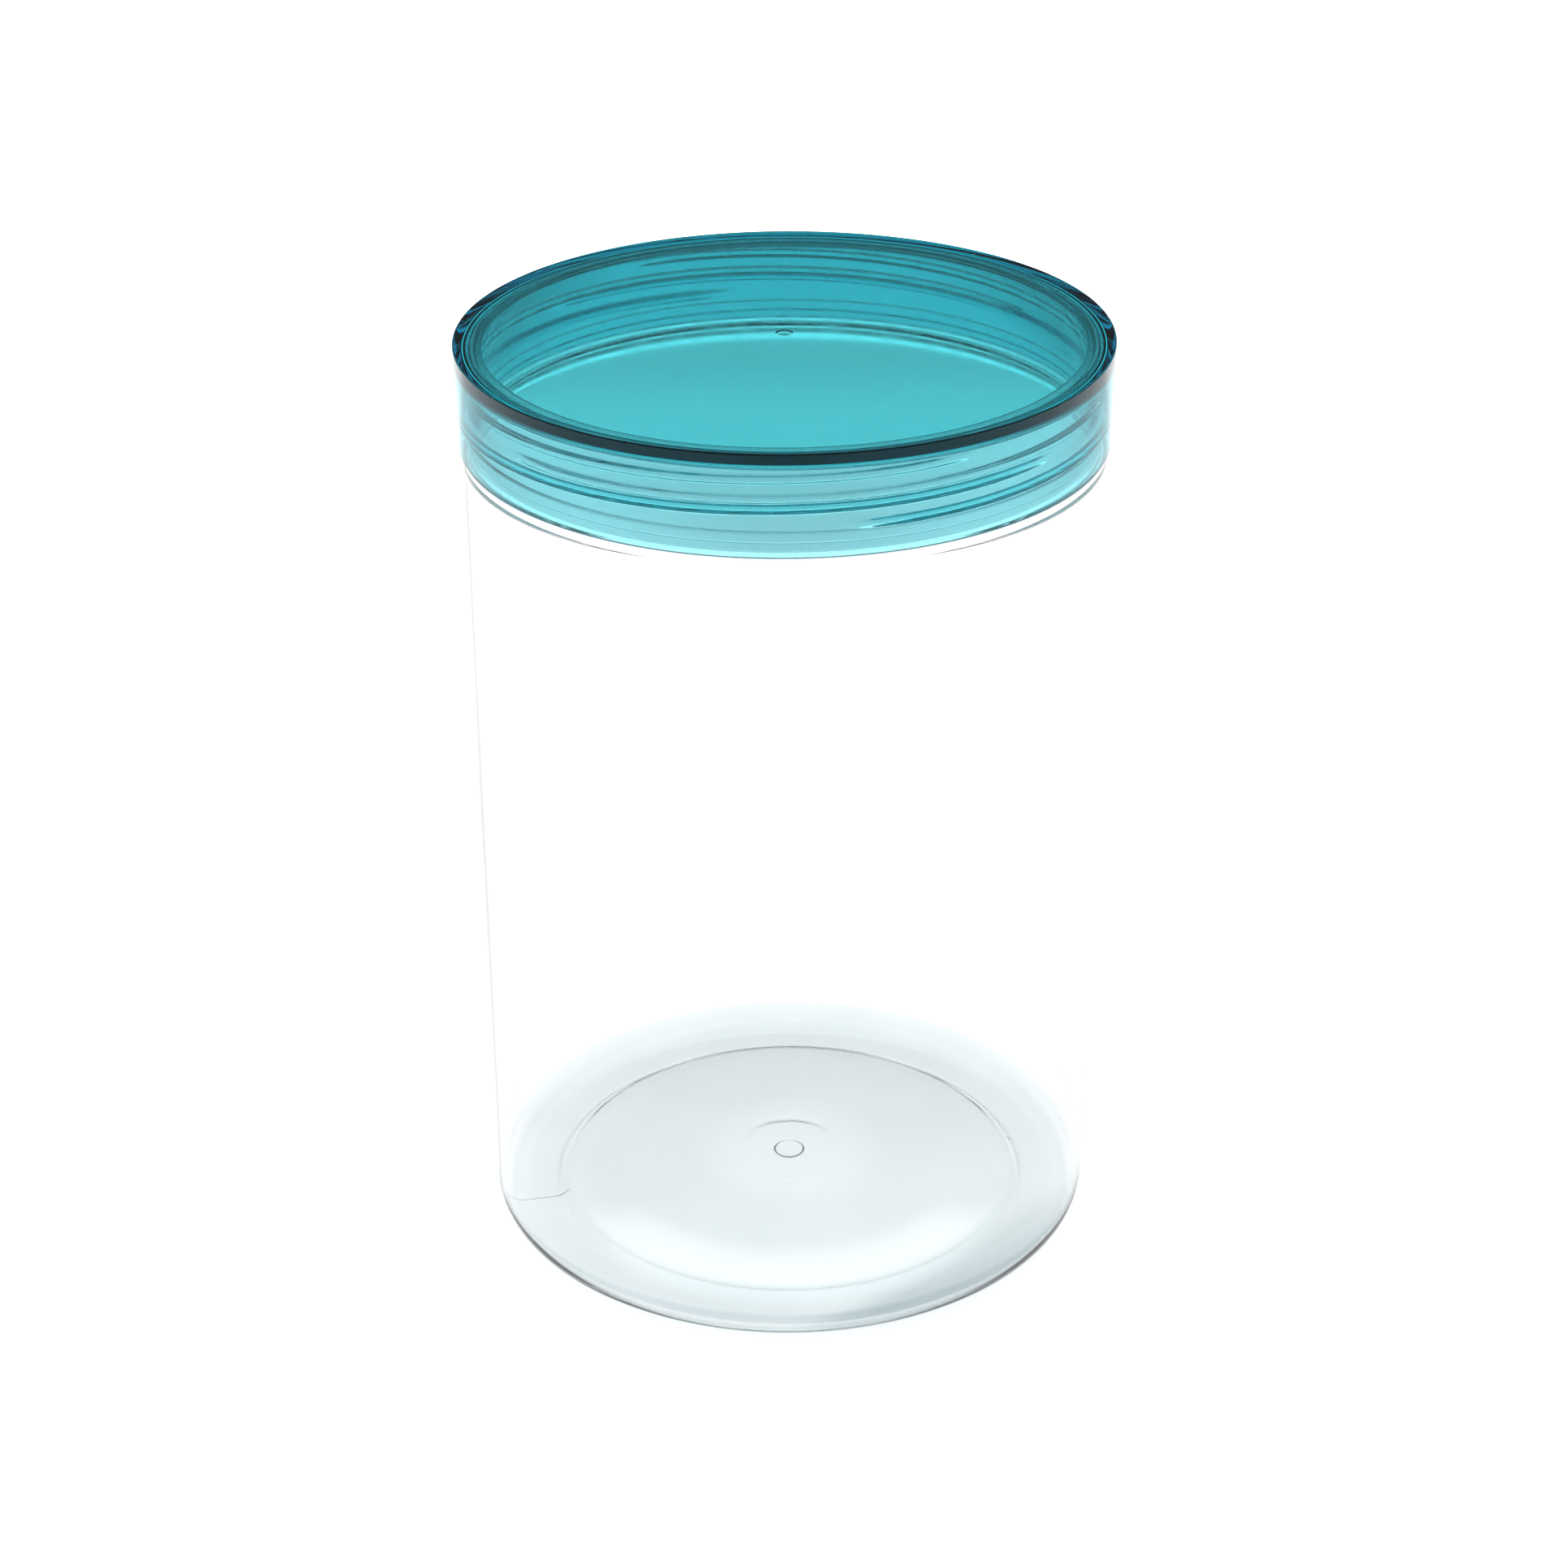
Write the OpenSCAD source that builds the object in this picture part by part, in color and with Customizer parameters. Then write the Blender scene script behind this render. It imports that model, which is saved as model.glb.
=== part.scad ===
// Wide-mouth storage jar with a screw lid: a clear blown jar, a tinted moulded lid
// with a flat top, and a sealing ring between the jar's lip and the lid's plate.
// Units are millimetres. +Z is up, and the origin is the centre of the face the jar stands on.
// The lid turns on a two-start right-hand thread and is drawn fully closed.

/* [Jar] */
// Outside diameter of the straight body
body_d = 100.4; // [100:0.1:100.6]
// Height of the jar alone, from the table to its lip
jar_h = 150; // [120:1:200]
// Thickness of the blown wall
wall = 1.0; // [0.8:0.05:1.1]
// Radius of the rounded heel where the wall meets the base
heel_r = 4; // [3:0.5:5]
// Inner radius of the flat ring that the jar stands on
stand_in_r = 40.6; // [38:0.2:42]
// Width of the rounded step between that ring and the pushed-up middle
step_w = 3.2; // [2.4:0.2:4]
// How far the middle of the base is pushed up
push_up_h = 4.2; // [3:0.1:5.5]

/* [Lid] */
// Outside diameter of the lid at its top
lid_d = 102; // [101.8:0.1:102.2]
// Overall height of the lid
lid_h = 16.2; // [16:0.1:16.6]
// Thickness of the flat top plate
plate_t = 2.1; // [1.8:0.1:2.4]
// Thickness of the skirt at its top
skirt_wall = 1.35; // [1.3:0.05:1.45]
// How much the skirt's outside narrows from top to bottom, on the radius
skirt_draft = 0.3; // [0:0.05:0.35]
// How much the skirt's inside widens from top to bottom, on the radius
inner_draft = 0.1; // [0:0.05:0.3]

/* [Thread] */
// Rise in one full turn of the lid
thread_lead = 6; // [6:0.1:6.2]
// Number of thread starts
thread_starts = 2; // [2:1:2]
// Length of each ridge on the jar, in degrees
jar_ridge_span = 270; // [180:5:280]
// Length of each ridge inside the lid, in degrees
lid_ridge_span = 221; // [150:1:225]
// Height of the jar's ridges above the neck
jar_ridge_h = 0.7; // [0.6:0.05:0.75]
// Height of the lid's ridges above the skirt's inside
lid_ridge_h = 0.8; // [0.7:0.05:0.85]

/* [Sealing ring] */
// Thickness of the sealing ring
seal_t = 0.8; // [0.6:0.05:0.9]
// Width of the sealing ring, from its hole to its edge
seal_w = 2.0; // [1.8:0.1:2.2]

/* [Hidden] */
$fn = 144;
arc_steps = 8;

// Running room between parts
ridge_clearance = 0.35;
seal_slack = 0.05;
seal_edge_gap = 0.1;

// Radii, worked inwards from the outside of the lid
lid_r = lid_d / 2;
skirt_in_r = lid_r - skirt_wall;
skirt_foot_in_r = skirt_in_r + inner_draft;
lid_ridge_tip_r = skirt_in_r - lid_ridge_h;
neck_r = lid_ridge_tip_r - ridge_clearance;
neck_wall = 1.1;
mouth_r = neck_r - neck_wall;
body_r = body_d / 2;
body_in_r = body_r - wall;

// Heights, worked down from the lid's top
plate_under_z = jar_h + seal_t + 2 * seal_slack;
total_h = plate_under_z + plate_t;
skirt_z = total_h - lid_h;
shoulder_gap = 0.4;
shoulder_z = skirt_z - shoulder_gap;
shoulder_r = 1;
flare_up = 0.8;
flare_down = 3;

// Lip, transfer bead and neck fillet
lip_r = 0.4;
bead_h = 1.8;
bead_out = 0.5;
bead_edge_r = 0.3;
bead_lift = 2.2;
bead_z = shoulder_z + bead_lift;
neck_fillet_r = 0.5;

// Base
base_t = 1.3;
step_h = 1.4;
gate_r = 2.6;
gate_h = 0.5;
gate_ring_r = 8.8;
gate_ring_w = 3;
gate_ring_h = 0.2;
dome_edge_r = stand_in_r - step_w;
dome_rise = push_up_h - step_h;
dome_r = (dome_edge_r * dome_edge_r + dome_rise * dome_rise) / (2 * dome_rise);

// Skirt and plate edges
top_edge_r = 0.25;
skirt_foot_r = 0.3;
lead_in = 0.3;
plate_fillet_r = 1;

// The sealing ring fits inside the fillet under the plate
seal_out_r = skirt_in_r - plate_fillet_r - seal_edge_gap;

// Threads. Angles run anticlockwise from above, and 270 degrees faces the front.
front = 270;
ridge_step = 5;
ridge_run_out = 14;
ridge_sink = 0.5;
ridge_end_sink = 0.3;
ridge_end_width = 0.4;
ridge_root_w = 1.5;
ridge_tip_w = 0.7;
jar_ridge_drop = 0.95;
jar_ridge_top_z = jar_h - jar_ridge_drop;
jar_ridge_top_a = front + 34.5;
jar_ridge_low_z = jar_ridge_top_z - thread_lead * jar_ridge_span / 360;
jar_ridge_low_a = jar_ridge_top_a - jar_ridge_span;
lid_ridge_low_a = front + 10;
// The lid's ridges lie this far under the jar's, centre to centre
ridge_gap = 1.25;
turns_between = (lid_ridge_low_a - jar_ridge_low_a) / 360;
lid_ridge_low_z = jar_ridge_low_z - ridge_gap + thread_lead * (turns_between - 1);

// Points on an arc, from angle a0 to a1
function arc(centre, r, a0, a1) =
    [for (i = [0 : arc_steps]) centre + r * [cos(a0 + (a1 - a0) * i / arc_steps),
                                             sin(a0 + (a1 - a0) * i / arc_steps)]];

// Height of the pushed-up base's underside at radius r
function dome_z(r) = push_up_h - dome_r + sqrt(dome_r * dome_r - r * r);

// Points along the dome at height lift above its underside, between two radii
function dome_points(r0, r1, lift) =
    [for (i = [0 : arc_steps]) let (r = r0 + (r1 - r0) * i / arc_steps) [r, dome_z(r) + lift]];

// Points down the rounded step, from the dome's edge to the standing ring
function step_points(lift) =
    [for (i = [1 : arc_steps]) let (t = i / arc_steps)
        [dome_edge_r + step_w * t, step_h * (1 + cos(180 * t)) / 2 + lift]];

function reversed(list) = [for (i = [1 : len(list)]) list[len(list) - i]];

// Outside of the jar, from the middle of the base out, up and to the lip
function jar_outside() = concat(
    [[0, dome_z(0) - gate_h], [gate_r, dome_z(gate_r) - gate_h]],
    dome_points(gate_r, dome_edge_r, 0),
    step_points(0),
    arc([body_r - heel_r, heel_r], heel_r, -90, 0),
    arc([body_r - shoulder_r, shoulder_z - shoulder_r], shoulder_r, 0, 90),
    arc([neck_r + neck_fillet_r, shoulder_z + neck_fillet_r], neck_fillet_r, 270, 180),
    [[neck_r, bead_z]],
    arc([neck_r + bead_out - bead_edge_r, bead_z + bead_edge_r], bead_edge_r, 270, 360),
    arc([neck_r + bead_out - bead_edge_r, bead_z + bead_h - bead_edge_r], bead_edge_r, 0, 90),
    [[neck_r, bead_z + bead_h]],
    arc([neck_r - lip_r, jar_h - lip_r], lip_r, 0, 90));

// The inside's smooth widening from the neck to the body
function flare_points() =
    [for (i = [0 : arc_steps]) let (t = i / arc_steps)
        [mouth_r + (body_in_r - mouth_r) * (1 - cos(180 * t)) / 2,
         shoulder_z + flare_up - (flare_up + flare_down) * t]];

// Inside of the jar, from the lip down, round the heel and to the middle of the floor
function jar_inside() = concat(
    arc([mouth_r + lip_r, jar_h - lip_r], lip_r, 90, 180),
    flare_points(),
    arc([body_r - heel_r, heel_r + base_t - wall], heel_r - wall, 0, -90),
    reversed(step_points(base_t)),
    dome_points(dome_edge_r, gate_ring_r + gate_ring_w / 2, base_t),
    [[gate_ring_r, dome_z(gate_ring_r) + base_t + gate_ring_h]],
    dome_points(gate_ring_r - gate_ring_w / 2, 0, base_t));

// Outline of half the lid: plate, drafted skirt, rounded foot and lead-in
function lid_outline() = concat(
    [[0, plate_under_z], [0, total_h]],
    arc([lid_r - top_edge_r, total_h - top_edge_r], top_edge_r, 90, 0),
    arc([lid_r - skirt_draft - skirt_foot_r, skirt_z + skirt_foot_r], skirt_foot_r, 0, -90),
    [[skirt_foot_in_r + lead_in, skirt_z], [skirt_foot_in_r, skirt_z + lead_in * 2]],
    arc([skirt_in_r - plate_fillet_r, plate_under_z - plate_fillet_r], plate_fillet_r, 0, 90));

// How far the ridge stands out, 0 to 1, at angle t along a ridge of the given span
function ridge_rise(t, span) =
    let (run = min(t, span - t) / ridge_run_out)
    run >= 1 ? 1 : sin(90 * max(run, 0));

// One thread ridge: a trapezium swept along a helix, with ends that run out into the wall.
// side is 1 for a ridge that stands outwards and -1 for one that stands inwards.
module thread_ridge(wall_r, height, side, low_z, low_a, span) {
    rings = round(span / ridge_step);
    points = [for (i = [0 : rings])
        let (t = span * i / rings,
             rise = ridge_rise(t, span),
             width = ridge_end_width + (1 - ridge_end_width) * rise,
             tip = wall_r + side * (height * rise - ridge_end_sink * (1 - rise)),
             root = wall_r - side * ridge_sink,
             half_root = ridge_root_w / 2 * width,
             half_tip = ridge_tip_w / 2 * width,
             z = low_z + thread_lead * t / 360,
             a = low_a + t)
        for (corner = [[root, -half_root], [tip, -half_tip], [tip, half_tip], [root, half_root]])
            [corner[0] * cos(a), corner[0] * sin(a), z + corner[1]]];
    sides = [for (i = [0 : rings - 1]) for (k = [0 : 3])
        let (n = (k + 1) % 4,
             quad = [4 * i + k, 4 * i + n, 4 * (i + 1) + n, 4 * (i + 1) + k])
        for (face = [[quad[0], quad[1], quad[2]], [quad[0], quad[2], quad[3]]])
            side > 0 ? face : [face[2], face[1], face[0]]];
    last = 4 * rings;
    caps = [[3, 2, 1, 0], [last, last + 1, last + 2, last + 3]];
    ends = [for (cap = caps) side > 0 ? cap : [cap[3], cap[2], cap[1], cap[0]]];
    polyhedron(points = points, faces = concat(sides, ends), convexity = 6);
}

// The blown jar, with its base, shoulder, transfer bead and two thread ridges
module jar() {
    color([0.90, 0.95, 0.96, 0.35]) {
        rotate_extrude(convexity = 8)
            polygon(concat(jar_outside(), jar_inside()));
        for (start = [0 : thread_starts - 1])
            thread_ridge(neck_r, jar_ridge_h, 1, jar_ridge_low_z,
                         jar_ridge_low_a + start * 360 / thread_starts, jar_ridge_span);
    }
}

// The soft ring that the lid presses on the lip
module sealing_ring() {
    color([0.80, 0.88, 0.88, 0.8])
        translate([0, 0, jar_h + seal_slack])
            difference() {
                cylinder(h = seal_t, r = seal_out_r);
                translate([0, 0, -1])
                    cylinder(h = seal_t + 2, r = seal_out_r - seal_w);
            }
}

// The moulded lid, with two ridges inside its skirt
module lid() {
    color([0.20, 0.68, 0.74, 0.6]) {
        rotate_extrude(convexity = 6)
            polygon(lid_outline());
        for (start = [0 : thread_starts - 1])
            thread_ridge(skirt_in_r, lid_ridge_h, -1, lid_ridge_low_z,
                         lid_ridge_low_a + start * 360 / thread_starts, lid_ridge_span);
    }
}

jar();
sealing_ring();
lid();
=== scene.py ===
"""Looks for a clear screw-lid jar: fine lathed shells, threads in relief, clear and tinted plastic."""
import math

import bpy
from mathutils import Matrix, Vector


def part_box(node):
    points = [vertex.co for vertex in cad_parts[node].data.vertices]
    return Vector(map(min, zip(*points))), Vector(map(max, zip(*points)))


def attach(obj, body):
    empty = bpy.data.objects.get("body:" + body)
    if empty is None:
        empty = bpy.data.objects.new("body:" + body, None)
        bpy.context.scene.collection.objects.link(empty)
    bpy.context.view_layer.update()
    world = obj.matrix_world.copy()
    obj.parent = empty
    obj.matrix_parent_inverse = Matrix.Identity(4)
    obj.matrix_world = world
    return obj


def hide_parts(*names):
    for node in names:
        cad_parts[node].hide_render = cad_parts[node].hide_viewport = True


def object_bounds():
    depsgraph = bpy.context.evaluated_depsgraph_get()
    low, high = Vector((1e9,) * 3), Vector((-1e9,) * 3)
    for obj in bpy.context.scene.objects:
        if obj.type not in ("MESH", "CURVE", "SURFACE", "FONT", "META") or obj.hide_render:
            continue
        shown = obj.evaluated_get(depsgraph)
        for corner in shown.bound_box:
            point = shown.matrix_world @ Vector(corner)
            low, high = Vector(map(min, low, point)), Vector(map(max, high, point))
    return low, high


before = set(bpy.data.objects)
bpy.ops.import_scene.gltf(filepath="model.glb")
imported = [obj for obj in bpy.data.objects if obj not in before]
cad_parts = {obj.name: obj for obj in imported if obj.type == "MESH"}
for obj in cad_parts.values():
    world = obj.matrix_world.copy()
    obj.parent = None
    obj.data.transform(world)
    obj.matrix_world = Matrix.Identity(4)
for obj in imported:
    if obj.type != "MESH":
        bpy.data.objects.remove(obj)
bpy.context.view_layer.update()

MM = 0.001
TINY = 1e-6

# ---- Sizes taken from the frame ----
jar_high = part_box("jar")[1]
lid_low, lid_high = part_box("lid")
seal_low, seal_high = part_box("sealing_ring")

BODY_R = jar_high[0]
JAR_TOP = jar_high[2]
LID_R = lid_high[0]
LID_TOP = lid_high[2]
LID_FOOT = lid_low[2]
SEAL_R = seal_high[0]

# ---- Design sizes, as in the CAD source ----
WALL = 1.0 * MM
BASE_T = 1.3 * MM
HEEL_R = 4.0 * MM
STAND_IN_R = 40.6 * MM
STEP_W = 3.2 * MM
STEP_H = 1.4 * MM
PUSH_UP_H = 4.2 * MM
GATE_R = 2.6 * MM
GATE_H = 0.5 * MM
GATE_RING_R = 8.8 * MM
GATE_RING_W = 3.0 * MM
GATE_RING_H = 0.2 * MM

NECK_WALL = 1.1 * MM
NECK_FILLET_R = 0.5 * MM
LIP_R = 0.4 * MM
SHOULDER_GAP = 0.4 * MM
SHOULDER_R = 1.0 * MM
BEAD_LIFT = 2.2 * MM
BEAD_H = 1.8 * MM
BEAD_OUT = 0.5 * MM
BEAD_EDGE_R = 0.3 * MM
FLARE_UP = 0.8 * MM
FLARE_DOWN = 3.0 * MM

PLATE_T = 2.1 * MM
SKIRT_WALL = 1.35 * MM
SKIRT_DRAFT = 0.3 * MM
INNER_DRAFT = 0.1 * MM
SKIRT_FOOT_R = 0.3 * MM
LEAD_IN = 0.3 * MM
TOP_EDGE_R = 0.25 * MM
PLATE_FILLET_R = 1.0 * MM
SEAL_W = 2.0 * MM
SEAL_EDGE_R = 0.25 * MM
GATE_MARK_R = 1.3 * MM
GATE_MARK_DEPTH = 0.12 * MM

THREAD_LEAD = 6.0 * MM
STARTS = 2
RIDGE_ROOT_W = 1.5 * MM
RIDGE_TIP_W = 0.7 * MM
RIDGE_CLEARANCE = 0.35 * MM
JAR_RIDGE_H = 0.7 * MM
LID_RIDGE_H = 0.8 * MM
JAR_RIDGE_SPAN = 270.0
LID_RIDGE_SPAN = 221.0
RUN_OUT = 14.0
FRONT = 270.0
RIDGE_GAP = 1.25 * MM
JAR_RIDGE_DROP = 0.95 * MM
JAR_RIDGE_TOP_ANGLE = FRONT + 34.5
LID_RIDGE_ANGLE = FRONT + 10.0
# The blow mould's two halves met in a plane turned this far from the front
PARTING_TURN = math.radians(12)

PLATE_UNDER = LID_TOP - PLATE_T
SKIRT_IN_R = LID_R - SKIRT_WALL
NECK_R = SKIRT_IN_R - LID_RIDGE_H - RIDGE_CLEARANCE
MOUTH_R = NECK_R - NECK_WALL
BODY_IN_R = BODY_R - WALL
SHOULDER_Z = LID_FOOT - SHOULDER_GAP
BEAD_Z = SHOULDER_Z + BEAD_LIFT
BEAD_TOP = BEAD_Z + BEAD_H

JAR_RIDGE_LOW = JAR_TOP - JAR_RIDGE_DROP - THREAD_LEAD * JAR_RIDGE_SPAN / 360
JAR_RIDGE_ANGLE = JAR_RIDGE_TOP_ANGLE - JAR_RIDGE_SPAN
LID_RIDGE_LOW = (JAR_RIDGE_LOW - RIDGE_GAP
                 + THREAD_LEAD * ((LID_RIDGE_ANGLE - JAR_RIDGE_ANGLE) / 360 - 1))

# ---- Mesh fineness ----
SEGMENTS = 360
ARC_STEPS = 8
BEND_STEPS = 12
RING_STEPS = 16
WALL_ROW = 20.0 * MM
SHARP = math.radians(20)
RELIEF_STEP = 0.14 * MM
SUPPORT = 0.07 * MM


def smooth(t):
    """0 to 1, easing in and out."""
    t = min(1.0, max(0.0, t))
    return t * t * (3 - 2 * t)


def arc(r, z, radius, start, end, steps=ARC_STEPS):
    """Points on an arc about (r, z), from one angle to another in degrees."""
    points = []
    for i in range(steps + 1):
        a = math.radians(start + (end - start) * i / steps)
        points.append((r + radius * math.cos(a), z + radius * math.sin(a)))
    return points


DOME_EDGE_R = STAND_IN_R - STEP_W
DOME_RISE = PUSH_UP_H - STEP_H
DOME_RADIUS = (DOME_EDGE_R ** 2 + DOME_RISE ** 2) / (2 * DOME_RISE)


def dome_z(r):
    """Height of the pushed-up base's underside at radius r."""
    return PUSH_UP_H - DOME_RADIUS + math.sqrt(DOME_RADIUS ** 2 - r * r)


def dome_points(r0, r1, lift, steps=BEND_STEPS):
    """Points along the dome between two radii, lifted by a thickness."""
    radii = [r0 + (r1 - r0) * i / steps for i in range(steps + 1)]
    return [(r, dome_z(r) + lift) for r in radii]


def step_points(lift):
    """Points down the rounded step, from the dome's edge to the standing ring."""
    points = []
    for i in range(1, BEND_STEPS + 1):
        t = i / BEND_STEPS
        points.append((DOME_EDGE_R + STEP_W * t, STEP_H * (1 + math.cos(math.pi * t)) / 2 + lift))
    return points


def rows_between(r0, z0, z1, step, r1=None):
    """Level rows up or down a straight wall from radius r0, which may lean in or out to r1."""
    count = max(1, round(abs(z1 - z0) / step))
    slope = 0.0 if r1 is None else (r1 - r0) / count
    return [(r0 + slope * i, z0 + (z1 - z0) * i / count) for i in range(count + 1)]


def meets_bend(stretch, other):
    """Whether a long stretch meets a sharp corner or the short steps of an arc."""
    if stretch.length < 4 * SUPPORT:
        return False
    return other.length < stretch.length / 4 or stretch.angle(other, 0.0) > SHARP


def supported(outline):
    """The outline with a point close to each bend on its long stretches, which keeps their shading flat."""
    stretches = [Vector(end) - Vector(start) for start, end in zip(outline, outline[1:])]
    points = [outline[0]]
    for k, stretch in enumerate(stretches):
        start, end = Vector(outline[k]), Vector(outline[k + 1])
        if k > 0 and meets_bend(stretch, stretches[k - 1]):
            points.append(tuple(start + stretch.normalized() * SUPPORT))
        if k + 1 < len(stretches) and meets_bend(stretch, stretches[k + 1]):
            points.append(tuple(end - stretch.normalized() * SUPPORT))
        points.append(outline[k + 1])
    return points


def ridge_height(z, angle, low_z, low_angle, span, height):
    """How far a thread's ridges stand off the wall at one height and angle."""
    best = 0.0
    for start in range(STARTS):
        t = (angle - low_angle - start * 360 / STARTS) % 360
        if t > span:
            continue
        rise = smooth(min(t, span - t) / RUN_OUT)
        centre = low_z + THREAD_LEAD * t / 360
        off = abs(z - centre)
        flank = (RIDGE_ROOT_W - RIDGE_TIP_W) / 2
        best = max(best, height * rise * smooth((RIDGE_ROOT_W / 2 - off) / flank))
    return best


def lathe(name, outline, relief=None):
    """A closed mesh turned about Z. relief gives each point's radial shift."""
    verts = []
    rings = []
    for r, z in outline:
        if r < TINY:
            rings.append([len(verts)])
            verts.append((0.0, 0.0, z))
            continue
        ring = []
        for i in range(SEGMENTS):
            angle = 360.0 * i / SEGMENTS
            radius = r + (relief(r, z, angle) if relief else 0.0)
            a = math.radians(angle)
            ring.append(len(verts))
            verts.append((radius * math.cos(a), radius * math.sin(a), z))
        rings.append(ring)
    faces = []
    closed = len(rings[0]) > 1
    pairs = list(zip(rings, rings[1:]))
    if closed:
        pairs.append((rings[-1], rings[0]))
    for low, high in pairs:
        for i in range(SEGMENTS):
            j = (i + 1) % SEGMENTS
            if len(low) == 1:
                faces.append((low[0], high[j], high[i]))
            elif len(high) == 1:
                faces.append((low[i], low[j], high[0]))
            else:
                faces.append((low[i], low[j], high[j], high[i]))
    mesh = bpy.data.meshes.new(name)
    mesh.from_pydata(verts, [], faces)
    mesh.validate()
    mesh.shade_smooth()
    piece = bpy.data.objects.new(name, mesh)
    bpy.context.scene.collection.objects.link(piece)
    return piece


# ---- Outlines ----
def base_inside():
    """The jar's floor, from the end of the heel in to the middle, over the low ring round the gate."""
    points = list(reversed(step_points(BASE_T)))
    points += dome_points(DOME_EDGE_R, GATE_RING_R + GATE_RING_W / 2, BASE_T)
    for i in range(1, RING_STEPS):
        t = i / RING_STEPS
        r = GATE_RING_R + GATE_RING_W * (0.5 - t)
        points.append((r, dome_z(r) + BASE_T + GATE_RING_H * math.sin(math.pi * t) ** 2))
    points += dome_points(GATE_RING_R - GATE_RING_W / 2, 0.0, BASE_T, ARC_STEPS)
    return points


def flare():
    """The inside's smooth widening from the neck to the body."""
    points = []
    for i in range(BEND_STEPS + 1):
        t = i / BEND_STEPS
        points.append((MOUTH_R + (BODY_IN_R - MOUTH_R) * (1 - math.cos(math.pi * t)) / 2,
                       SHOULDER_Z + FLARE_UP - (FLARE_UP + FLARE_DOWN) * t))
    return points


def jar_outline():
    """From the middle of the base out, up and over the lip, then down the inside to the middle."""
    outside = [(0.0, dome_z(0) - GATE_H)]
    outside += arc(GATE_R - GATE_H, dome_z(GATE_R), GATE_H, -90, 0)
    outside += dome_points(GATE_R + SUPPORT, DOME_EDGE_R, 0.0)
    outside += step_points(0.0)
    outside += arc(BODY_R - HEEL_R, HEEL_R, HEEL_R, -90, 0, BEND_STEPS)
    outside += rows_between(BODY_R, HEEL_R + WALL, SHOULDER_Z - SHOULDER_R - WALL, WALL_ROW)
    outside += arc(BODY_R - SHOULDER_R, SHOULDER_Z - SHOULDER_R, SHOULDER_R, 0, 90)
    outside += arc(NECK_R + NECK_FILLET_R, SHOULDER_Z + NECK_FILLET_R, NECK_FILLET_R, 270, 180)
    outside += [(NECK_R, BEAD_Z)]
    bead_r = NECK_R + BEAD_OUT - BEAD_EDGE_R
    outside += arc(bead_r, BEAD_Z + BEAD_EDGE_R, BEAD_EDGE_R, 270, 360)
    outside += arc(bead_r, BEAD_TOP - BEAD_EDGE_R, BEAD_EDGE_R, 0, 90)
    outside += [(NECK_R, BEAD_TOP)]
    thread = rows_between(NECK_R, BEAD_TOP + RELIEF_STEP, JAR_TOP - LIP_R - SUPPORT, RELIEF_STEP)
    lip = arc(NECK_R - LIP_R, JAR_TOP - LIP_R, LIP_R, 0, 90)
    lip += arc(MOUTH_R + LIP_R, JAR_TOP - LIP_R, LIP_R, 90, 180)
    inside = flare()
    inside += rows_between(BODY_IN_R, SHOULDER_Z - FLARE_DOWN - WALL, HEEL_R + BASE_T, WALL_ROW)
    inside += arc(BODY_R - HEEL_R, HEEL_R + BASE_T - WALL, HEEL_R - WALL, 0, -90, BEND_STEPS)
    inside += base_inside()
    return supported(outside) + thread + supported(lip) + supported(inside)


def jar_relief(r, z, angle):
    """The thread's ridges, on the outside of the neck only."""
    if abs(r - NECK_R) > TINY or z < BEAD_TOP:
        return 0.0
    return ridge_height(z, angle, JAR_RIDGE_LOW, JAR_RIDGE_ANGLE, JAR_RIDGE_SPAN, JAR_RIDGE_H)


def lid_outline():
    """From the middle of the top out, down the skirt and up its inside to the middle of the plate."""
    top = [(0.0, LID_TOP - GATE_MARK_DEPTH / 2), (GATE_MARK_R / 3, LID_TOP - GATE_MARK_DEPTH)]
    top += arc(GATE_MARK_R - GATE_MARK_DEPTH, LID_TOP, GATE_MARK_DEPTH, -90, 0, 4)
    top += [(GATE_MARK_R + SUPPORT, LID_TOP)]
    edge = arc(LID_R - TOP_EDGE_R, LID_TOP - TOP_EDGE_R, TOP_EDGE_R, 90, 0)
    foot_r = LID_R - SKIRT_DRAFT
    foot = arc(foot_r - SKIRT_FOOT_R, LID_FOOT + SKIRT_FOOT_R, SKIRT_FOOT_R, 0, -90)
    inner_r = SKIRT_IN_R + INNER_DRAFT
    lead = [(inner_r + LEAD_IN, LID_FOOT), (inner_r, LID_FOOT + 2 * LEAD_IN)]
    thread = rows_between(inner_r, LID_FOOT + 2 * LEAD_IN + SUPPORT,
                          PLATE_UNDER - PLATE_FILLET_R - SUPPORT, RELIEF_STEP, SKIRT_IN_R)
    fillet = arc(SKIRT_IN_R - PLATE_FILLET_R, PLATE_UNDER - PLATE_FILLET_R, PLATE_FILLET_R, 0, 90)
    under = [(0.0, PLATE_UNDER)]
    return supported(top + edge + foot + lead) + thread + supported(fillet + under)


def lid_relief(r, z, angle):
    """The thread's ridges, inside the skirt only. Their tips keep one radius down the drafted wall."""
    off_wall = r - SKIRT_IN_R
    if off_wall < -TINY or off_wall > INNER_DRAFT + TINY:
        return 0.0
    height = LID_RIDGE_H + off_wall
    return -ridge_height(z, angle, LID_RIDGE_LOW, LID_RIDGE_ANGLE, LID_RIDGE_SPAN, height)


def seal_outline():
    """A flat ring's section, with four rounded corners."""
    bottom, top = seal_low[2] + SEAL_EDGE_R, seal_high[2] - SEAL_EDGE_R
    outer, inner = SEAL_R - SEAL_EDGE_R, SEAL_R - SEAL_W + SEAL_EDGE_R
    corners = ((outer, bottom), (outer, top), (inner, top), (inner, bottom))
    points = []
    for k, (r, z) in enumerate(corners):
        points += arc(r, z, SEAL_EDGE_R, 90 * k - 90, 90 * k)
    return points


# ---- Materials ----
PLASTIC_IOR = 1.57
SILICONE_IOR = 1.41
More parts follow.
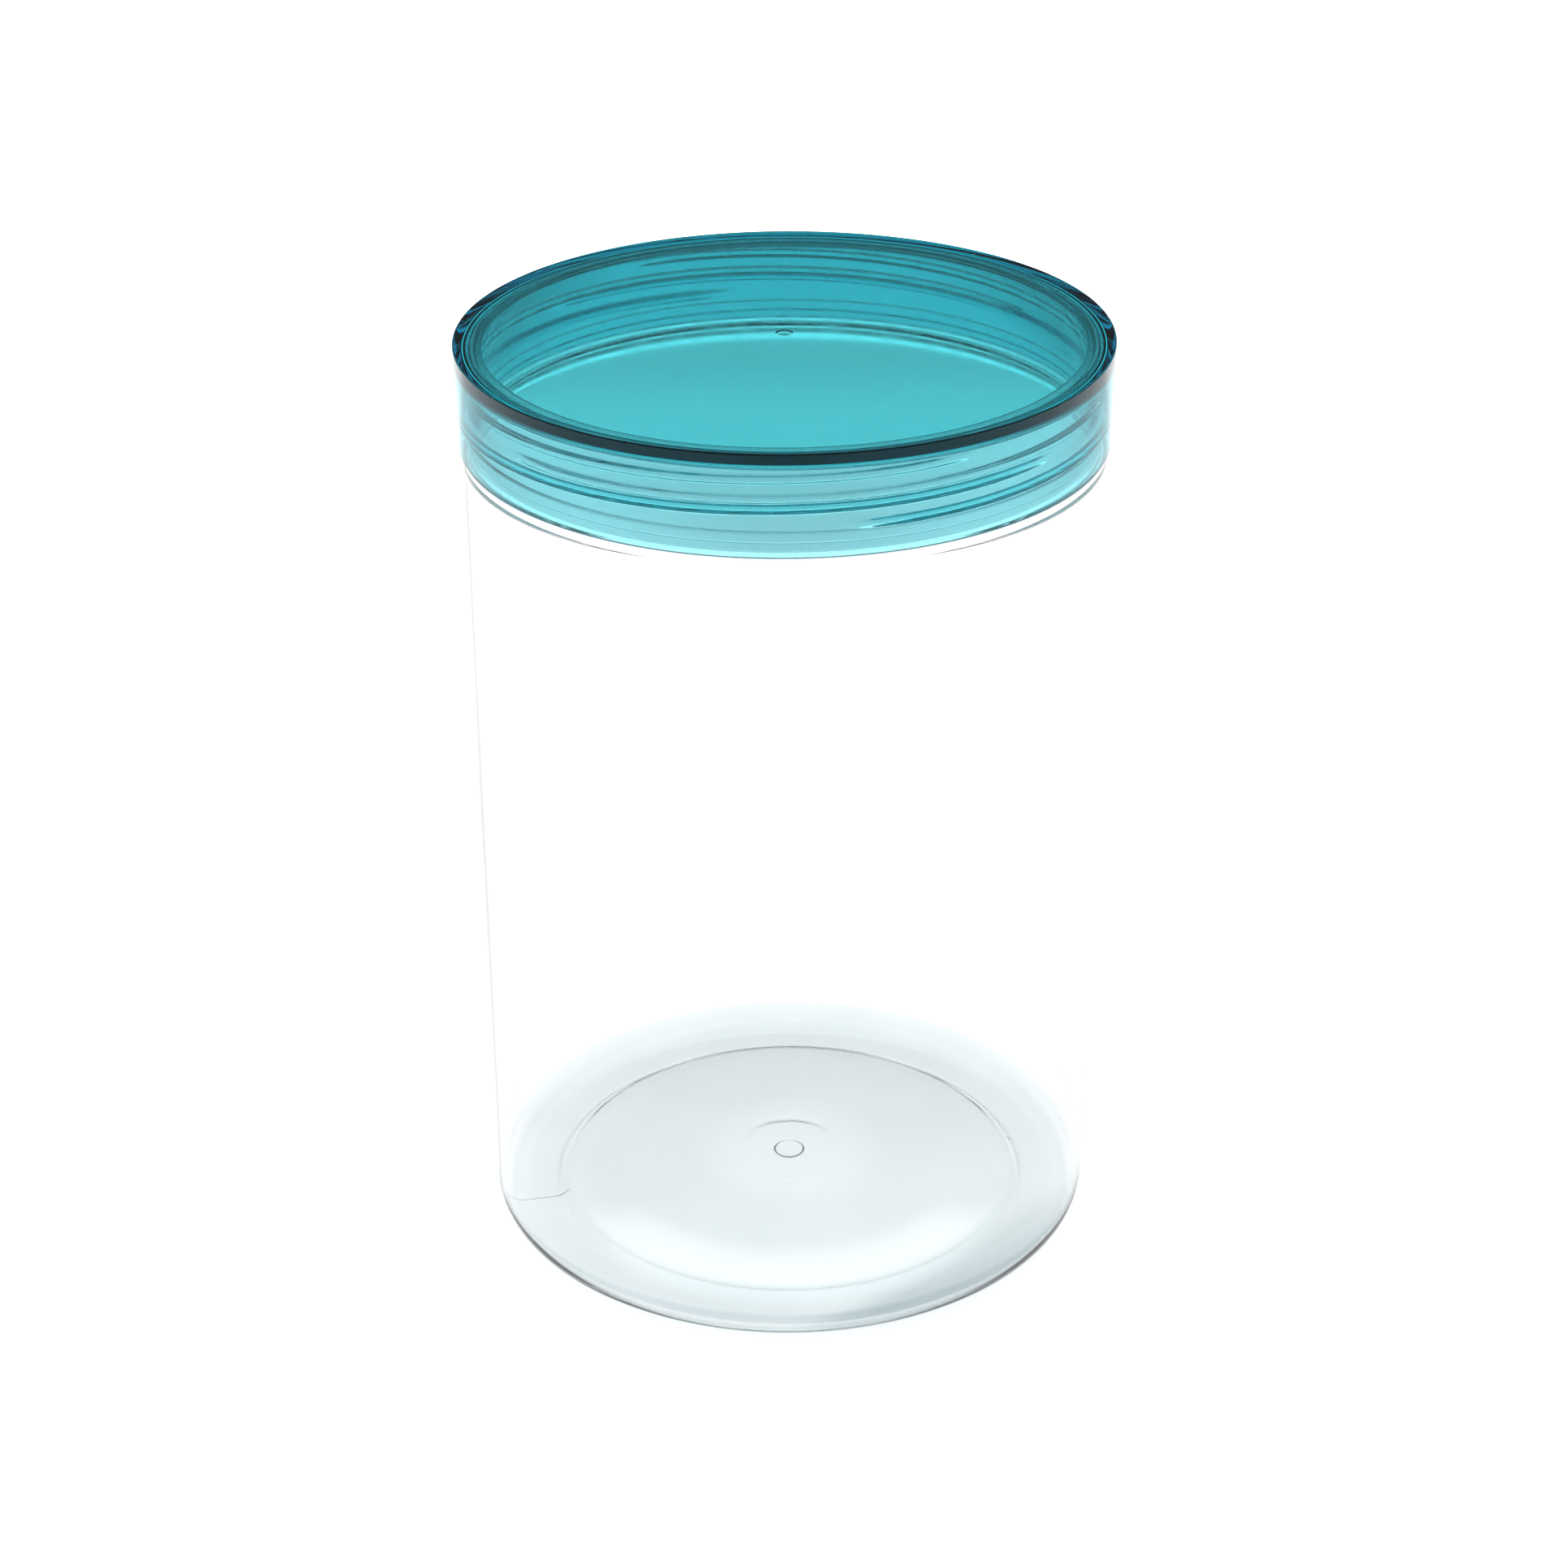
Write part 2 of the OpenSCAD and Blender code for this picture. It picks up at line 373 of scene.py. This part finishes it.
# Tints of one surface, and of the plastic's depth with its density per metre
# The base's grey is painted shade, standing in for the shade under the jar
BASE_SHADE_TINT = (0.70, 0.75, 0.765)
WALL_TINT = (1.0, 1.0, 1.0)
JAR_DEPTH = ((0.80, 0.93, 0.97), 60.0)
SKIRT_TINT = (0.46, 0.53, 0.57)
PLATE_TINT = (0.59, 0.605, 0.64)
GLOSS_TINT = (0.3, 0.8, 1.0)
LID_DEPTH = ((0.0, 0.92, 0.95), 850.0)
SEAL_TINTS = ((0.93, 0.95, 0.95), (0.98, 0.99, 0.99))
# Roughness, from the glossiest spots to the dullest
JAR_GLOSS = (0.025, 0.09)
LID_GLOSS = (0.015, 0.04)
SEAL_GLOSS = (0.08, 0.16)
# Where the jar's painted shade and painted highlight change, in millimetres: each pair is a start and an
# end
ABOVE_HEEL = (HEEL_R / MM + 0.8, HEEL_R / MM + 1.8)
RING_IN = (27, 32)
RING_OUT = (36.5, 38)
RING_FRONT = (-22, -12)
HEEL_RIGHT_FRONT = (48, 66)
HEEL_FADE = (4, 14)
SCUFF_FADE = (2, 30)
# Heights of surface relief in millimetres
WAVE_H = 0.02
PEEL_H = 0.0015
PARTING_H = 0.03
FLOW_H = 0.006
SCRATCH_DEPTH = -0.001
SPECK_DEPTH = -0.02
SATIN_H = 0.01


class Surface:
    """A Principled material, with helpers that take sizes in millimetres."""

    def __init__(self, name):
        self.mat = bpy.data.materials.new(name)
        self.mat.use_nodes = True
        self.tree = self.mat.node_tree
        self.shader = self.tree.nodes["Principled BSDF"]
        coords = self.tree.nodes.new("ShaderNodeTexCoord")
        scale = self.tree.nodes.new("ShaderNodeVectorMath")
        scale.operation = "SCALE"
        scale.inputs["Scale"].default_value = 1 / MM
        self.link(coords.outputs["Object"], scale.inputs[0])
        self.place = scale.outputs["Vector"]
        parts = self.tree.nodes.new("ShaderNodeSeparateXYZ")
        self.link(self.place, parts.inputs["Vector"])
        self.x, self.y, self.z = parts.outputs

    def link(self, source, target):
        self.tree.links.new(source, target)

    def clear(self, ior):
        """Lets light through, bent by the given index."""
        self.shader.inputs["Transmission Weight"].default_value = 1.0
        self.shader.inputs["IOR"].default_value = ior

    def math(self, operation, a, b=0.0):
        node = self.tree.nodes.new("ShaderNodeMath")
        node.operation = operation
        for slot, value in zip(node.inputs, (a, b)):
            if isinstance(value, (int, float)):
                slot.default_value = value
            else:
                self.link(value, slot)
        return node.outputs[0]

    def times(self, a, b):
        return self.math("MULTIPLY", a, b)

    def plus(self, a, b):
        return self.math("ADD", a, b)

    def span(self, value, low, high, to_low, to_high):
        """value carried from one range to another, held at both ends."""
        node = self.tree.nodes.new("ShaderNodeMapRange")
        node.interpolation_type = "SMOOTHSTEP"
        self.link(value, node.inputs["Value"])
        for key, number in (("From Min", low), ("From Max", high), ("To Min", to_low), ("To Max", to_high)):
            node.inputs[key].default_value = number
        return node.outputs["Result"]

    def noise(self, size, stretch=(1, 1, 1), detail=1.0):
        """Smooth noise, 0 to 1, whose blotches are about size millimetres across."""
        squeeze = self.tree.nodes.new("ShaderNodeVectorMath")
        squeeze.operation = "MULTIPLY"
        squeeze.inputs[1].default_value = stretch
        self.link(self.place, squeeze.inputs[0])
        node = self.tree.nodes.new("ShaderNodeTexNoise")
        node.inputs["Scale"].default_value = 1 / size
        node.inputs["Detail"].default_value = detail
        self.link(squeeze.outputs["Vector"], node.inputs["Vector"])
        return node.outputs["Fac"]

    def specks(self, spacing, radius):
        """Round dots of the given radius, about spacing millimetres apart."""
        node = self.tree.nodes.new("ShaderNodeTexVoronoi")
        node.inputs["Scale"].default_value = 1 / spacing
        self.link(self.place, node.inputs["Vector"])
        return self.span(node.outputs["Distance"], 0.6 * radius / spacing, radius / spacing, 1.0, 0.0)

    def colours(self, fac, low, high):
        node = self.tree.nodes.new("ShaderNodeValToRGB")
        node.color_ramp.elements[0].color = (*low, 1)
        node.color_ramp.elements[1].color = (*high, 1)
        self.link(fac, node.inputs["Fac"])
        self.link(node.outputs["Color"], self.shader.inputs["Base Color"])

    def rough(self, value, low, high, glossy, dull):
        """Roughness from glossy to dull as value goes from low to high."""
        self.link(self.span(value, low, high, glossy, dull), self.shader.inputs["Roughness"])

    def bump(self, *heights):
        """Adds up heights in millimetres and bends the surface by them."""
        total = heights[0]
        for height in heights[1:]:
            total = self.plus(total, height)
        node = self.tree.nodes.new("ShaderNodeBump")
        node.inputs["Distance"].default_value = MM
        node.inputs["Strength"].default_value = 1.0
        self.link(total, node.inputs["Height"])
        self.link(node.outputs["Normal"], self.shader.inputs["Normal"])

    def volume(self, colour, density):
        node = self.tree.nodes.new("ShaderNodeVolumeAbsorption")
        node.inputs["Color"].default_value = (*colour, 1)
        node.inputs["Density"].default_value = density
        self.link(node.outputs["Volume"], self.tree.nodes["Material Output"].inputs["Volume"])


def jar_tone_and_painted_light(s, from_axis):
    """0 where the jar is painted greyest, 1 where it is left clear: painted shade on the base and the
    heel's right front, a painted highlight in the front of the base ring, and random tone.
    """
    # Painted shade: the base is greyer, standing in for the shade under the jar; the noise adds random tone
    above_heel = s.span(s.z, *ABOVE_HEEL, 0.35, 1.35)
    tone_and_light = s.plus(above_heel, s.times(s.noise(20), 0.3))
    # Painted highlight: lighter in the front of the ring where the middle of the base curves down
    ring = s.times(s.span(from_axis, *RING_IN, 0.0, 0.45), s.span(from_axis, *RING_OUT, 1.0, 0.0))
    tone_and_light = s.plus(tone_and_light, s.times(ring, s.span(s.y, *RING_FRONT, 1.0, 0.0)))
    # Painted shade: greyest at the right front of the heel
    right_front = s.span(s.math("SUBTRACT", s.x, s.y), *HEEL_RIGHT_FRONT, 0.0, -1.0)
    return s.plus(tone_and_light, s.times(right_front, s.span(s.z, *HEEL_FADE, 1.0, 0.0)))


def parting_line(s, from_axis):
    """A low ridge where the blow mould's halves met, outside the dome and fainter on the right."""
    across = s.math("SUBTRACT", s.times(s.y, math.cos(PARTING_TURN)), s.times(s.x, math.sin(PARTING_TURN)))
    ridge = s.times(s.span(s.math("ABSOLUTE", across), 0.1, 0.4, PARTING_H, 0.0),
                    s.span(from_axis, DOME_EDGE_R / MM, DOME_EDGE_R / MM + 1, 0.0, 1.0))
    return s.times(ridge, s.span(s.x, -5, 5, 1.0, 0.25))


def clear_plastic():
    """Blown clear plastic: a base painted grey as shade, painted shade at the heel's right front, a painted
    highlight in the front of the base ring, a wavy wall, a mould parting line, faint scuffs low down.
    """
    s = Surface("clear_plastic")
    s.clear(PLASTIC_IOR)
    from_axis = s.math("SQRT", s.plus(s.times(s.x, s.x), s.times(s.y, s.y)))
    s.colours(jar_tone_and_painted_light(s, from_axis), BASE_SHADE_TINT, WALL_TINT)
    scuffs = s.noise(0.7, (1, 1, 0.2), 2.0)
    low_down = s.span(s.z, *SCUFF_FADE, 1.0, 0.25)
    s.rough(s.times(scuffs, low_down), 0.35, 0.7, *JAR_GLOSS)
    waves = s.times(s.noise(16, (1, 1, 0.35)), WAVE_H)
    peel = s.times(s.noise(2.5), PEEL_H)
    s.bump(waves, peel, parting_line(s, from_axis))
    s.volume(*JAR_DEPTH)
    return s.mat


def tinted_plastic():
    """Moulded tinted plastic: near-perfect gloss with hair scratches and a few specks."""
    s = Surface("tinted_plastic")
    s.clear(PLASTIC_IOR)
    s.shader.inputs["Specular Tint"].default_value = (*GLOSS_TINT, 1)
    plate = s.span(s.z, PLATE_UNDER / MM - 1, PLATE_UNDER / MM, 0.0, 0.7)
    paleness = s.plus(plate, s.times(s.noise(18), 0.3))
    s.colours(paleness, SKIRT_TINT, PLATE_TINT)
    s.rough(s.noise(3.5, detail=2.0), 0.3, 0.7, *LID_GLOSS)
    flow = s.times(s.noise(14), FLOW_H)
    hairs = s.noise(0.5, (0.04, 1, 1), 2.0)
    scratches = s.span(hairs, 0.7, 0.76, 0.0, SCRATCH_DEPTH)
    specks = s.times(s.specks(11, 0.28), SPECK_DEPTH)
    s.bump(flow, scratches, specks)
    s.volume(*LID_DEPTH)
    return s.mat


def seal_rubber():
    """Clear silicone with a satin skin."""
    s = Surface("seal")
    s.clear(SILICONE_IOR)
    s.colours(s.noise(6), *SEAL_TINTS)
    s.rough(s.noise(0.8), 0.3, 0.7, *SEAL_GLOSS)
    s.bump(s.times(s.noise(0.6), SATIN_H))
    return s.mat


# ---- Pieces ----
jar = lathe("jar_shell", jar_outline(), jar_relief)
jar.data.materials.append(clear_plastic())
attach(jar, "jar")
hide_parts("jar")

lid = lathe("lid_shell", list(reversed(lid_outline())), lid_relief)
lid.data.materials.append(tinted_plastic())
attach(lid, "lid")
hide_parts("lid")

seal = lathe("seal_ring", seal_outline())
seal.data.materials.append(seal_rubber())
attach(seal, "sealing_ring")
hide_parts("sealing_ring")

# ---- Floor ----
low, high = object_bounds()
HEIGHT = high[2] - low[2]
centre = Vector(((low[0] + high[0]) / 2, (low[1] + high[1]) / 2, (low[2] + high[2]) / 2))

floor_mesh = bpy.data.meshes.new("floor")
FLOOR = 40 * HEIGHT
FLOOR_DROP = 0.02 * MM
floor_mesh.from_pydata([(-FLOOR, -FLOOR, 0), (FLOOR, -FLOOR, 0), (FLOOR, FLOOR, 0), (-FLOOR, FLOOR, 0)],
                       [], [(0, 1, 2, 3)])
floor = bpy.data.objects.new("floor", floor_mesh)
floor.location.z = low[2] - FLOOR_DROP
bpy.context.scene.collection.objects.link(floor)
ground = Surface("floor")
ground.shader.inputs["Base Color"].default_value = (0.8, 0.8, 0.8, 1)
ground.shader.inputs["Emission Color"].default_value = (1, 1, 1, 1)
ground.shader.inputs["Roughness"].default_value = 0.9
ground.shader.inputs["Specular IOR Level"].default_value = 0.0
# Each change in the floor's own light along y: its start and end in jar heights, and how much it adds
GLOW_STEPS = ((-2.9, -2.4, 0.7), (2.0, 2.3, 0.4), (2.35, 2.7, -0.3), (2.8, 3.2, 1.3))
glow = 0.0
for start, end, added in GLOW_STEPS:
    glow = ground.plus(ground.span(ground.y, start * HEIGHT / MM, end * HEIGHT / MM, 0.0, added), glow)
ground.link(glow, ground.shader.inputs["Emission Strength"])
floor.data.materials.append(ground.mat)

# ---- Soft studio light ----
world = bpy.data.worlds.new("studio")
bpy.context.scene.world = world
world.use_nodes = True
sky_nodes = world.node_tree.nodes
sky_links = world.node_tree.links
background = sky_nodes["Background"]
background.inputs["Strength"].default_value = 1.0
direction = sky_nodes.new("ShaderNodeTexCoord")
axes = sky_nodes.new("ShaderNodeSeparateXYZ")
ramp = sky_nodes.new("ShaderNodeValToRGB")
sky_links.new(direction.outputs["Generated"], axes.inputs["Vector"])
sky_links.new(axes.outputs["Z"], ramp.inputs["Fac"])
sky_links.new(ramp.outputs["Color"], background.inputs["Color"])
# The studio's grey from the horizon, at 0, to the zenith, at 1
SKY = ((0.0, 1.0), (0.1, 0.8), (0.24, 0.08), (0.5, 0.12), (0.65, 0.3), (0.82, 1.0), (1.0, 1.0))
ramp.color_ramp.elements[0].position = SKY[0][0]
ramp.color_ramp.elements[0].color = (SKY[0][1],) * 3 + (1,)
ramp.color_ramp.elements[1].position = SKY[-1][0]
ramp.color_ramp.elements[1].color = (SKY[-1][1],) * 3 + (1,)
for spot, grey in SKY[1:-1]:
    stop = ramp.color_ramp.elements.new(spot)
    stop.color = (grey, grey, grey, 1)

# ---- Camera ----
LENS = 79.4
ELEVATION = math.radians(26.81)
ROLL = math.radians(0.36)
DISTANCE = 3.70 * HEIGHT
SIDE = -0.48 * MM
LIFT = -1.07 * MM
camera_data = bpy.data.cameras.new("camera")
camera_data.lens = LENS
camera_data.sensor_width = 36.0
camera_data.clip_start = 0.01
camera_data.clip_end = 100
camera = bpy.data.objects.new("camera", camera_data)
bpy.context.scene.collection.objects.link(camera)
forward = Vector((0, math.cos(ELEVATION), -math.sin(ELEVATION)))
right = Vector((1, 0, 0))
up = right.cross(forward)
turn = Matrix((right, up, -forward)).transposed()
place = centre - DISTANCE * forward + SIDE * right + LIFT * up
camera.matrix_world = Matrix.Translation(place) @ turn.to_4x4() @ Matrix.Rotation(-ROLL, 4, "Z")
bpy.context.scene.camera = camera
bpy.context.scene.view_settings.view_transform = "Standard"

# ---- Enough bounces to see through all the clear walls ----
cycles = bpy.context.scene.cycles
cycles.blur_glossy = 0
cycles.max_bounces = 20
cycles.transmission_bounces = 20
cycles.glossy_bounces = 8
cycles.diffuse_bounces = 1
